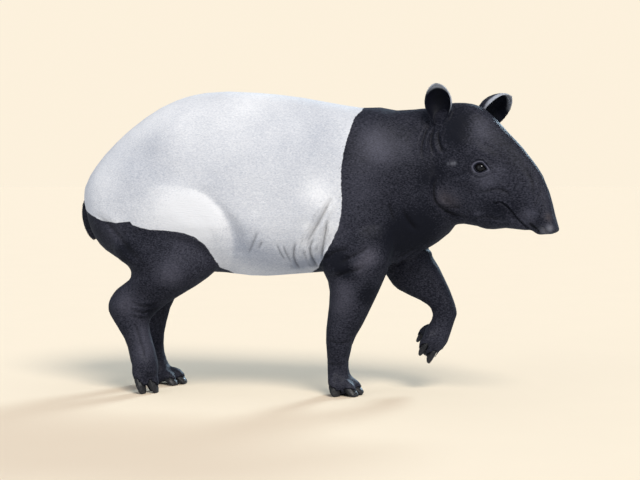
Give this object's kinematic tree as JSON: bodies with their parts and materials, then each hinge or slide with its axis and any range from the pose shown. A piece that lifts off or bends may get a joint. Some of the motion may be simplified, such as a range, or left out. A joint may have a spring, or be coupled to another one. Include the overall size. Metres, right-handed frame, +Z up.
{
  "type": "malayan tapir animal model",
  "caption": "Life-size still model of a walking tapir with a pale saddle, dark head and legs, short trunk, cupped ears and blunt toes, standing on its feet.",
  "frame": {"origin": "on the floor under the middle of the length and width", "axes": "+X ahead, towards the snout; +Y towards the animal's left side; +Z up"},
  "size_m": [1.762, 0.5148, 1.1128],
  "materials": {
    "black_skin": "short dense matt hair over thick hide",
    "white_coat": "short dense pale hair over thick hide",
    "hoof_horn": "satin dark horn",
    "eye_black": "wet gloss"
  },
  "bodies": {
    "root": {"torso": "white_coat", "shoulders": "black_skin", "neck": "black_skin", "head": "black_skin", "snout": "black_skin", "ear_right": "black_skin", "ear_left": "black_skin", "eye_right": "eye_black", "eye_left": "eye_black", "tail": "black_skin", "foreleg_right_upper": "black_skin", "foreleg_right_lower": "black_skin", "foreleg_left_upper": "black_skin", "foreleg_left_lower": "black_skin", "hindleg_right_upper": "black_skin", "hindleg_right_lower": "black_skin", "hindleg_left_upper": "black_skin", "hindleg_left_lower": "black_skin", "foreleg_right_hoof_outer": "hoof_horn", "foreleg_right_hoof_second": "hoof_horn", "foreleg_right_hoof_middle": "hoof_horn", "foreleg_right_hoof_inner": "hoof_horn", "foreleg_left_hoof_outer": "hoof_horn", "foreleg_left_hoof_second": "hoof_horn", "foreleg_left_hoof_middle": "hoof_horn", "foreleg_left_hoof_inner": "hoof_horn", "hindleg_right_hoof_outer": "hoof_horn", "hindleg_right_hoof_middle": "hoof_horn", "hindleg_right_hoof_inner": "hoof_horn", "hindleg_left_hoof_outer": "hoof_horn", "hindleg_left_hoof_middle": "hoof_horn", "hindleg_left_hoof_inner": "hoof_horn"}
  },
  "joints": []
}
